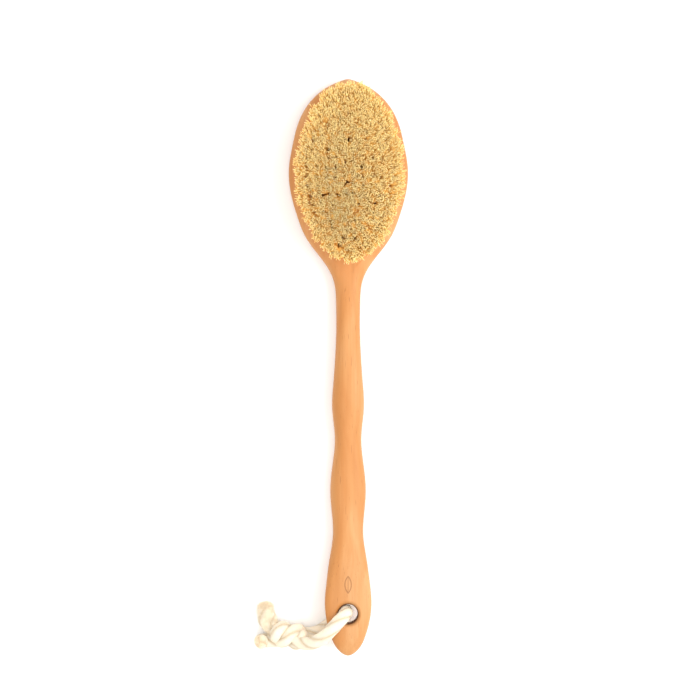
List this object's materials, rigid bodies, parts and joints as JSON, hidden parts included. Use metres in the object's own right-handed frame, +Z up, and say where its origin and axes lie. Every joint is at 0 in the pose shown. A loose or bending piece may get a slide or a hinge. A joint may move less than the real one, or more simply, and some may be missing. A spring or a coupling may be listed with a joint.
{
  "type": "body dry brush",
  "caption": "Long-handled wooden body brush with an oval head of natural bristle tufts and a knotted cord loop through the handle's end.",
  "frame": {"origin": "on the surface the brush lies on, under the middle of the wooden body", "axes": "+Y from the handle's end towards the head, +X across the brush, +Z up: the way the bristles point as the brush lies on its back"},
  "size_m": [0.1079, 0.3998, 0.038],
  "materials": {
    "beech_wood": "satin, lightly waxed",
    "bristle": "natural pale plant or boar bristle, trimmed",
    "anchor_wire": "flat drawn wire",
    "cotton_cord": "soft twisted cotton"
  },
  "bodies": {
    "brush": {"brush_body": "beech_wood", "tufts_ring_1": "bristle", "tufts_ring_2": "bristle", "tufts_ring_3": "bristle", "tufts_ring_4": "bristle", "tufts_ring_5": "bristle", "tufts_core": "bristle", "anchors_ring_1": "anchor_wire", "anchors_ring_2": "anchor_wire", "anchors_ring_3": "anchor_wire", "anchors_ring_4": "anchor_wire", "anchors_ring_5": "anchor_wire", "anchors_core": "anchor_wire"},
    "hang_loop": {"hang_cord": "cotton_cord", "cord_knot": "cotton_cord", "cord_tail_frayed": "cotton_cord", "cord_tail_stub": "cotton_cord"}
  },
  "joints": [
    {"name": "loop_swing", "type": "hinge", "parent": "brush", "child": "hang_loop", "pos_m": [0, -0.1703, 0.0165], "axis": [0, 0, 1], "range_deg": [-50, 180]}
  ]
}
